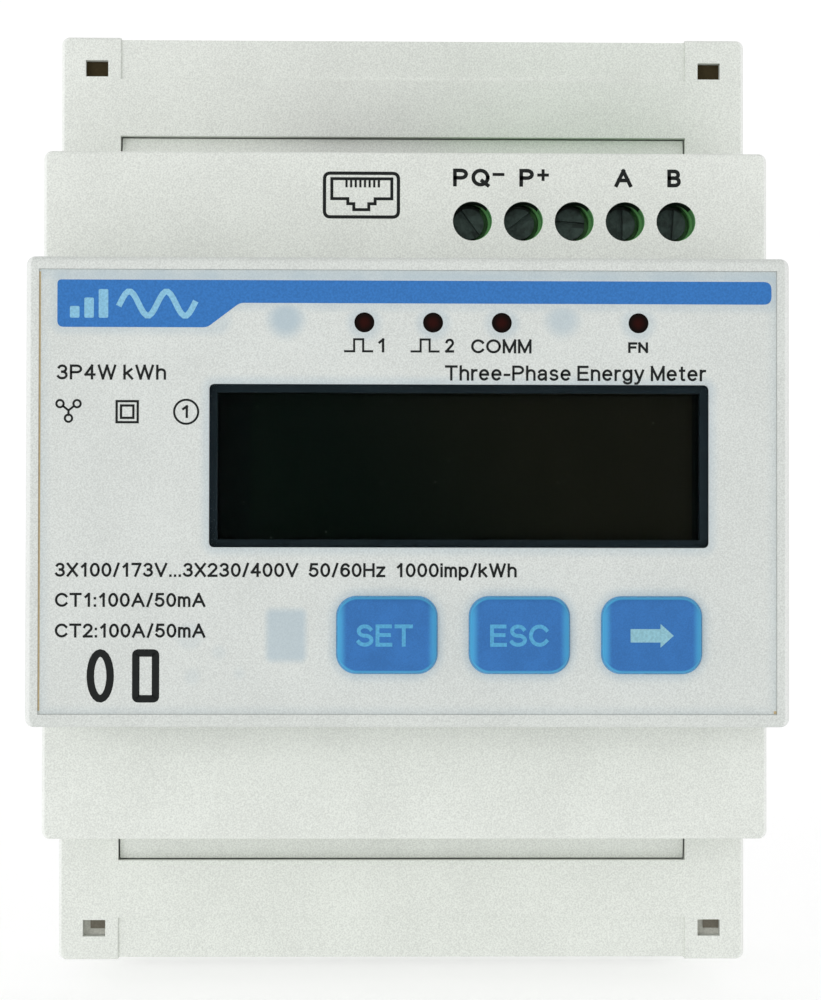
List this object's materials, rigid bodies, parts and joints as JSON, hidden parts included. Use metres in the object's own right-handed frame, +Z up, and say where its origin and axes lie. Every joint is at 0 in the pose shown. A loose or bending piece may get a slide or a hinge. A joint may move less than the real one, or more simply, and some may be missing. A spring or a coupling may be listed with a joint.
{
  "type": "electric energy meter",
  "caption": "Modular three-phase electric meter for a mounting rail, with a stepped housing, display, three keys, signal terminals and clip-on terminal covers.",
  "frame": {"origin": "centre of the flat face that rests on the mounting rail", "axes": "+X to the right seen from the front, +Y to the rear (the rail), +Z up; the front faces -Y"},
  "size_m": [0.072, 0.0656, 0.1],
  "materials": {
    "rear_base": "fine matt light grey",
    "mid_case": "fine matt light grey",
    "front_cover": "fine matt light grey",
    "face_overlay": "printed pale film with a blue band and black print",
    "display_window": "clear polished sheet",
    "display_gasket": "dark slate",
    "lcd_panel": "near black, unlit",
    "lcd_backlight": "white light box",
    "display_board": "green circuit board",
    "indicator_leds": "dark red, unlit",
    "key_switches": "black switch body",
    "comm_board": "green circuit board",
    "power_board": "green circuit board",
    "board_headers": "black",
    "supply_capacitors": "dark sleeved can",
    "surge_varistors": "blue lacquer",
    "rj45_jack": "black",
    "signal_terminal_block": "green",
    "voltage_terminal_block": "dark grey",
    "ct_terminal_block": "green",
    "ct_clamps": "zinc plated",
    "contact_bars": "tinned brass",
    "case_screws": "zinc plated",
    "key_cap": "satin blue",
    "rail_latch": "dark blue grey",
    "latch_spring": "spring steel",
    "upper_terminal_cover": "fine matt light grey",
    "lower_terminal_cover": "fine matt light grey",
    "signal_screw": "dark plated steel",
    "terminal_clamp": "zinc plated",
    "terminal_screw": "zinc plated"
  },
  "bodies": {
    "case": {"rear_base": "rear_base", "mid_case": "mid_case", "front_cover": "front_cover", "face_overlay": "face_overlay", "display_window": "display_window", "display_gasket": "display_gasket", "lcd_panel": "lcd_panel", "lcd_backlight": "lcd_backlight", "display_board": "display_board", "indicator_leds": "indicator_leds", "key_switches": "key_switches", "comm_board": "comm_board", "power_board": "power_board", "board_headers": "board_headers", "supply_capacitors": "supply_capacitors", "surge_varistors": "surge_varistors", "rj45_jack": "rj45_jack", "signal_terminal_block": "signal_terminal_block", "voltage_terminal_block": "voltage_terminal_block", "ct_terminal_block": "ct_terminal_block", "ct_clamps": "ct_clamps", "contact_bars": "contact_bars", "case_screws": "case_screws"},
    "set_key": {"set_key": "key_cap"},
    "esc_key": {"esc_key": "key_cap"},
    "next_key": {"next_key": "key_cap"},
    "latch": {"rail_latch": "rail_latch", "latch_spring": "latch_spring"},
    "upper_cover": {"upper_terminal_cover": "upper_terminal_cover"},
    "lower_cover": {"lower_terminal_cover": "lower_terminal_cover"},
    "signal_screw_1": {"signal_screw_1": "signal_screw"},
    "signal_clamp_1": {"signal_clamp_1": "terminal_clamp"},
    "signal_screw_2": {"signal_screw_2": "signal_screw"},
    "signal_clamp_2": {"signal_clamp_2": "terminal_clamp"},
    "signal_screw_3": {"signal_screw_3": "signal_screw"},
    "signal_clamp_3": {"signal_clamp_3": "terminal_clamp"},
    "signal_screw_4": {"signal_screw_4": "signal_screw"},
    "signal_clamp_4": {"signal_clamp_4": "terminal_clamp"},
    "signal_screw_5": {"signal_screw_5": "signal_screw"},
    "signal_clamp_5": {"signal_clamp_5": "terminal_clamp"},
    "voltage_screw_1": {"voltage_screw_1": "terminal_screw"},
    "voltage_clamp_1": {"voltage_clamp_1": "terminal_clamp"},
    "voltage_screw_2": {"voltage_screw_2": "terminal_screw"},
    "voltage_clamp_2": {"voltage_clamp_2": "terminal_clamp"},
    "voltage_screw_3": {"voltage_screw_3": "terminal_screw"},
    "voltage_clamp_3": {"voltage_clamp_3": "terminal_clamp"},
    "voltage_screw_4": {"voltage_screw_4": "terminal_screw"},
    "voltage_clamp_4": {"voltage_clamp_4": "terminal_clamp"},
    "ct_screw_1": {"ct_screw_1": "terminal_screw"},
    "ct_screw_2": {"ct_screw_2": "terminal_screw"},
    "ct_screw_3": {"ct_screw_3": "terminal_screw"},
    "ct_screw_4": {"ct_screw_4": "terminal_screw"},
    "ct_screw_5": {"ct_screw_5": "terminal_screw"},
    "ct_screw_6": {"ct_screw_6": "terminal_screw"},
    "ct_screw_7": {"ct_screw_7": "terminal_screw"},
    "ct_screw_8": {"ct_screw_8": "terminal_screw"},
    "ct_screw_9": {"ct_screw_9": "terminal_screw"},
    "ct_screw_10": {"ct_screw_10": "terminal_screw"},
    "ct_screw_11": {"ct_screw_11": "terminal_screw"},
    "ct_screw_12": {"ct_screw_12": "terminal_screw"}
  },
  "joints": [
    {"name": "set_key_press", "type": "slide", "parent": "case", "child": "set_key", "axis": [0, 1, 0], "range_m": [0, 0.0004], "stiffness_N_per_m": 800, "springref_m": -0.0008},
    {"name": "esc_key_press", "type": "slide", "parent": "case", "child": "esc_key", "axis": [0, 1, 0], "range_m": [0, 0.0004], "stiffness_N_per_m": 800, "springref_m": -0.0008},
    {"name": "next_key_press", "type": "slide", "parent": "case", "child": "next_key", "axis": [0, 1, 0], "range_m": [0, 0.0004], "stiffness_N_per_m": 800, "springref_m": -0.0008},
    {"name": "latch_slide", "type": "slide", "parent": "case", "child": "latch", "axis": [0, 0, -1], "range_m": [0, 0.004], "stiffness_N_per_m": 1200, "springref_m": -0.002, "deforming": ["latch_spring"]},
    {"name": "upper_cover_lift", "type": "slide", "parent": "case", "child": "upper_cover", "axis": [0, -1, 0], "range_m": [0, 0.04]},
    {"name": "lower_cover_lift", "type": "slide", "parent": "case", "child": "lower_cover", "axis": [0, -1, 0], "range_m": [0, 0.04]},
    {"name": "signal_screw_1_turn", "type": "hinge", "parent": "case", "child": "signal_screw_1", "pos_m": [0.0063, 0, 0.0273], "axis": [0, 1, 0], "range_deg": [0, 1441]},
    {"name": "signal_clamp_1_rise", "type": "slide", "parent": "case", "child": "signal_clamp_1", "axis": [0, -1, 0], "range_m": [0, 0.0016]},
    {"name": "signal_screw_2_turn", "type": "hinge", "parent": "case", "child": "signal_screw_2", "pos_m": [0.01138, 0, 0.0273], "axis": [0, 1, 0], "range_deg": [0, 1441]},
    {"name": "signal_clamp_2_rise", "type": "slide", "parent": "case", "child": "signal_clamp_2", "axis": [0, -1, 0], "range_m": [0, 0.0016]},
    {"name": "signal_screw_3_turn", "type": "hinge", "parent": "case", "child": "signal_screw_3", "pos_m": [0.01646, 0, 0.0273], "axis": [0, 1, 0], "range_deg": [0, 1441]},
    {"name": "signal_clamp_3_rise", "type": "slide", "parent": "case", "child": "signal_clamp_3", "axis": [0, -1, 0], "range_m": [0, 0.0016]},
    {"name": "signal_screw_4_turn", "type": "hinge", "parent": "case", "child": "signal_screw_4", "pos_m": [0.02154, 0, 0.0273], "axis": [0, 1, 0], "range_deg": [0, 1441]},
    {"name": "signal_clamp_4_rise", "type": "slide", "parent": "case", "child": "signal_clamp_4", "axis": [0, -1, 0], "range_m": [0, 0.0016]},
    {"name": "signal_screw_5_turn", "type": "hinge", "parent": "case", "child": "signal_screw_5", "pos_m": [0.02662, 0, 0.0273], "axis": [0, 1, 0], "range_deg": [0, 1441]},
    {"name": "signal_clamp_5_rise", "type": "slide", "parent": "case", "child": "signal_clamp_5", "axis": [0, -1, 0], "range_m": [0, 0.0016]},
    {"name": "voltage_screw_1_turn", "type": "hinge", "parent": "case", "child": "voltage_screw_1", "pos_m": [-0.0255, 0, 0.0426], "axis": [0, 1, 0], "range_deg": [0, 1441]},
    {"name": "voltage_clamp_1_rise", "type": "slide", "parent": "case", "child": "voltage_clamp_1", "axis": [0, -1, 0], "range_m": [0, 0.0028]},
    {"name": "voltage_screw_2_turn", "type": "hinge", "parent": "case", "child": "voltage_screw_2", "pos_m": [-0.0085, 0, 0.0426], "axis": [0, 1, 0], "range_deg": [0, 1441]},
    {"name": "voltage_clamp_2_rise", "type": "slide", "parent": "case", "child": "voltage_clamp_2", "axis": [0, -1, 0], "range_m": [0, 0.0028]},
    {"name": "voltage_screw_3_turn", "type": "hinge", "parent": "case", "child": "voltage_screw_3", "pos_m": [0.0085, 0, 0.0426], "axis": [0, 1, 0], "range_deg": [0, 1441]},
    {"name": "voltage_clamp_3_rise", "type": "slide", "parent": "case", "child": "voltage_clamp_3", "axis": [0, -1, 0], "range_m": [0, 0.0028]},
    {"name": "voltage_screw_4_turn", "type": "hinge", "parent": "case", "child": "voltage_screw_4", "pos_m": [0.0255, 0, 0.0426], "axis": [0, 1, 0], "range_deg": [0, 1441]},
    {"name": "voltage_clamp_4_rise", "type": "slide", "parent": "case", "child": "voltage_clamp_4", "axis": [0, -1, 0], "range_m": [0, 0.0028]},
    {"name": "ct_screw_1_turn", "type": "hinge", "parent": "case", "child": "ct_screw_1", "pos_m": [-0.02794, 0, -0.0432], "axis": [0, 1, 0], "range_deg": [0, 1441]},
    {"name": "ct_screw_2_turn", "type": "hinge", "parent": "case", "child": "ct_screw_2", "pos_m": [-0.02286, 0, -0.0432], "axis": [0, 1, 0], "range_deg": [0, 1441]},
    {"name": "ct_screw_3_turn", "type": "hinge", "parent": "case", "child": "ct_screw_3", "pos_m": [-0.01778, 0, -0.0432], "axis": [0, 1, 0], "range_deg": [0, 1441]},
    {"name": "ct_screw_4_turn", "type": "hinge", "parent": "case", "child": "ct_screw_4", "pos_m": [-0.0127, 0, -0.0432], "axis": [0, 1, 0], "range_deg": [0, 1441]},
    {"name": "ct_screw_5_turn", "type": "hinge", "parent": "case", "child": "ct_screw_5", "pos_m": [-0.00762, 0, -0.0432], "axis": [0, 1, 0], "range_deg": [0, 1441]},
    {"name": "ct_screw_6_turn", "type": "hinge", "parent": "case", "child": "ct_screw_6", "pos_m": [-0.00254, 0, -0.0432], "axis": [0, 1, 0], "range_deg": [0, 1441]},
    {"name": "ct_screw_7_turn", "type": "hinge", "parent": "case", "child": "ct_screw_7", "pos_m": [0.00254, 0, -0.0432], "axis": [0, 1, 0], "range_deg": [0, 1441]},
    {"name": "ct_screw_8_turn", "type": "hinge", "parent": "case", "child": "ct_screw_8", "pos_m": [0.00762, 0, -0.0432], "axis": [0, 1, 0], "range_deg": [0, 1441]},
    {"name": "ct_screw_9_turn", "type": "hinge", "parent": "case", "child": "ct_screw_9", "pos_m": [0.0127, 0, -0.0432], "axis": [0, 1, 0], "range_deg": [0, 1441]},
    {"name": "ct_screw_10_turn", "type": "hinge", "parent": "case", "child": "ct_screw_10", "pos_m": [0.01778, 0, -0.0432], "axis": [0, 1, 0], "range_deg": [0, 1441]},
    {"name": "ct_screw_11_turn", "type": "hinge", "parent": "case", "child": "ct_screw_11", "pos_m": [0.02286, 0, -0.0432], "axis": [0, 1, 0], "range_deg": [0, 1441]},
    {"name": "ct_screw_12_turn", "type": "hinge", "parent": "case", "child": "ct_screw_12", "pos_m": [0.02794, 0, -0.0432], "axis": [0, 1, 0], "range_deg": [0, 1441]}
  ],
  "couplings": [
    {"joint": "signal_screw_1_turn", "follows": "signal_clamp_1_rise", "rad_per_m": 15708},
    {"joint": "signal_screw_2_turn", "follows": "signal_clamp_2_rise", "rad_per_m": 15708},
    {"joint": "signal_screw_3_turn", "follows": "signal_clamp_3_rise", "rad_per_m": 15708},
    {"joint": "signal_screw_4_turn", "follows": "signal_clamp_4_rise", "rad_per_m": 15708},
    {"joint": "signal_screw_5_turn", "follows": "signal_clamp_5_rise", "rad_per_m": 15708},
    {"joint": "voltage_screw_1_turn", "follows": "voltage_clamp_1_rise", "rad_per_m": 8976},
    {"joint": "voltage_screw_2_turn", "follows": "voltage_clamp_2_rise", "rad_per_m": 8976},
    {"joint": "voltage_screw_3_turn", "follows": "voltage_clamp_3_rise", "rad_per_m": 8976},
    {"joint": "voltage_screw_4_turn", "follows": "voltage_clamp_4_rise", "rad_per_m": 8976}
  ]
}
